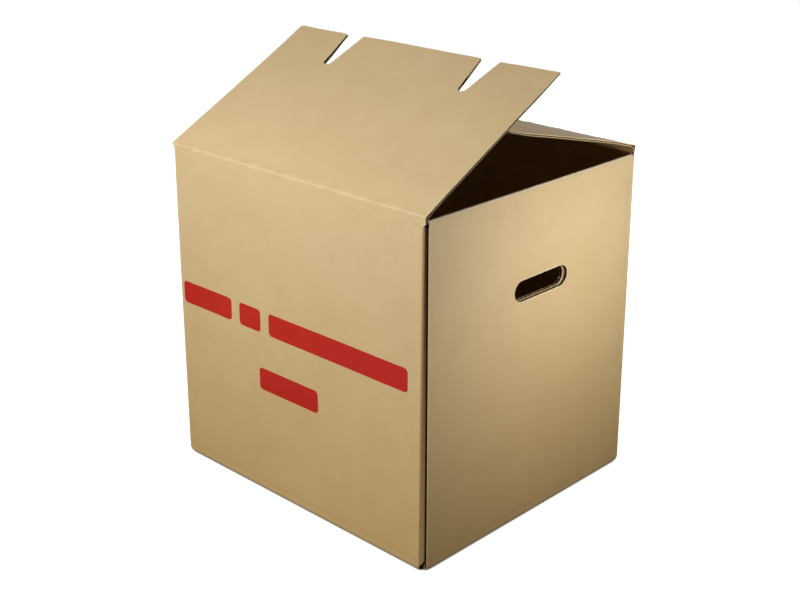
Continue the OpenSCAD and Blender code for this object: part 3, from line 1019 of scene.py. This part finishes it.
def make_camera():
    """The photograph's view: from the front right corner, looking down."""
    look_down, from_front = 18.784, 44.0
    data = bpy.data.cameras.new("camera")
    data.lens = 60.729
    data.sensor_width = 36
    data.shift_y = -0.08
    data.clip_start, data.clip_end = 0.05, 50
    camera = bpy.data.objects.new("camera", data)
    camera.location = (1.0359, -1.0768, 0.7938)
    camera.rotation_euler = (math.radians(90 - look_down), 0, math.radians(from_front))
    bpy.context.scene.collection.objects.link(camera)
    bpy.context.scene.camera = camera
    bpy.context.scene.view_settings.view_transform = "Standard"


def make_lamp(name, place, target, size, watts):
    data = bpy.data.lights.new(name, "AREA")
    data.shape = "RECTANGLE"
    data.size, data.size_y = size
    data.energy = watts
    lamp = bpy.data.objects.new(name, data)
    lamp.visible_camera = False
    lamp.location = place
    lamp.rotation_euler = (Vector(target) - Vector(place)).to_track_quat("-Z", "Y").to_euler()
    bpy.context.scene.collection.objects.link(lamp)


def make_world():
    """Nearly dark, but white for the camera and part white for reflections."""
    world = bpy.data.worlds.new("studio")
    bpy.context.scene.world = world
    world.use_nodes = True
    tree = world.node_tree
    tree.nodes.clear()
    ray = node(tree, "ShaderNodeLightPath").outputs
    share = maths(tree, "MULTIPLY_ADD", ray["Is Glossy Ray"], 0.25, ray["Is Camera Ray"], clamp=True)
    dim = node(tree, "ShaderNodeBackground", {"Color": (0.95, 0.97, 1, 1), "Strength": 0.015})
    white = node(tree, "ShaderNodeBackground", {"Color": (1, 1, 1, 1), "Strength": 1.0})
    both = node(tree, "ShaderNodeMixShader", {"Fac": share, 1: dim.outputs[0], 2: white.outputs[0]})
    node(tree, "ShaderNodeOutputWorld", {"Surface": both.outputs[0]})


KRAFT = kraft_group()
# pale colour of rubbed paper, also used for painted highlights
PALE_RUB_AND_HIGHLIGHT = srgb(250, 236, 208)
FINISHES = [
    paper("kraft_outer", srgb(215, 190, 145), srgb(208, 181, 135), PALE_RUB_AND_HIGHLIGHT),
    # the inner face is darker than the outer, partly painted shade of the box's inside
    paper("kraft_inner_and_shade", srgb(180, 149, 103), srgb(166, 135, 91), srgb(214, 190, 146)),
    paper("cut_edge", srgb(236, 216, 176), srgb(200, 170, 124), PALE_RUB_AND_HIGHLIGHT, flecks=0.0, washboard=0.0),
    # the core's dark colour is partly the fluted paper's own, partly painted shade in the hollows
    paper("fluted_core_and_shade", srgb(114, 78, 43), srgb(88, 58, 30), PALE_RUB_AND_HIGHLIGHT, flecks=0.0, washboard=0.0),
    paper("red_ink", srgb(198, 46, 36), srgb(188, 40, 32), srgb(214, 104, 84), rough=0.62, flecks=0.0),
]
SLOTS = hand_slots()

make_body()
make_lid("front_lid_board", "front_lid", -HALF_D, FRONT_Z, FRONT_OPEN, 1, front_shape,
         worn=(5.0, 1.2), phase=0.6, liner=LINER_T)
make_lid("rear_lid_board", "rear_lid", HALF_D, REAR_Z, REAR_OPEN, -1, rear_shape,
         worn=(2.0, 2.0), phase=2.9, liner=REAR_LINER_T)
make_crease("front_crease", "front_lid", -HALF_D, FRONT_Z, FRONT_OPEN, 1, FRONT_TOP, (1, 0), 21)
make_crease("rear_crease", "rear_lid", HALF_D, REAR_Z, REAR_OPEN, -1, REAR_TOP, (1, 1), 22)

make_floor()
make_camera()
make_lamp("key", (-0.11, -1.19, 1.03), (0, -0.1, 0.33), (0.55, 0.45), 18.4)
make_lamp("end", (0.535, 0.07, 0.355), (0.2, 0.07, 0.28), (0.28, 0.07), 1.40)
make_lamp("left", (-1.5, 0.45, 0.16), (-0.2, 0.05, 0.2), (1.0, 0.25), 12)
make_lamp("back", (-0.2, 1.9, 0.68), (0, 0.17, 0.3), (0.7, 0.3), 25)
make_world()
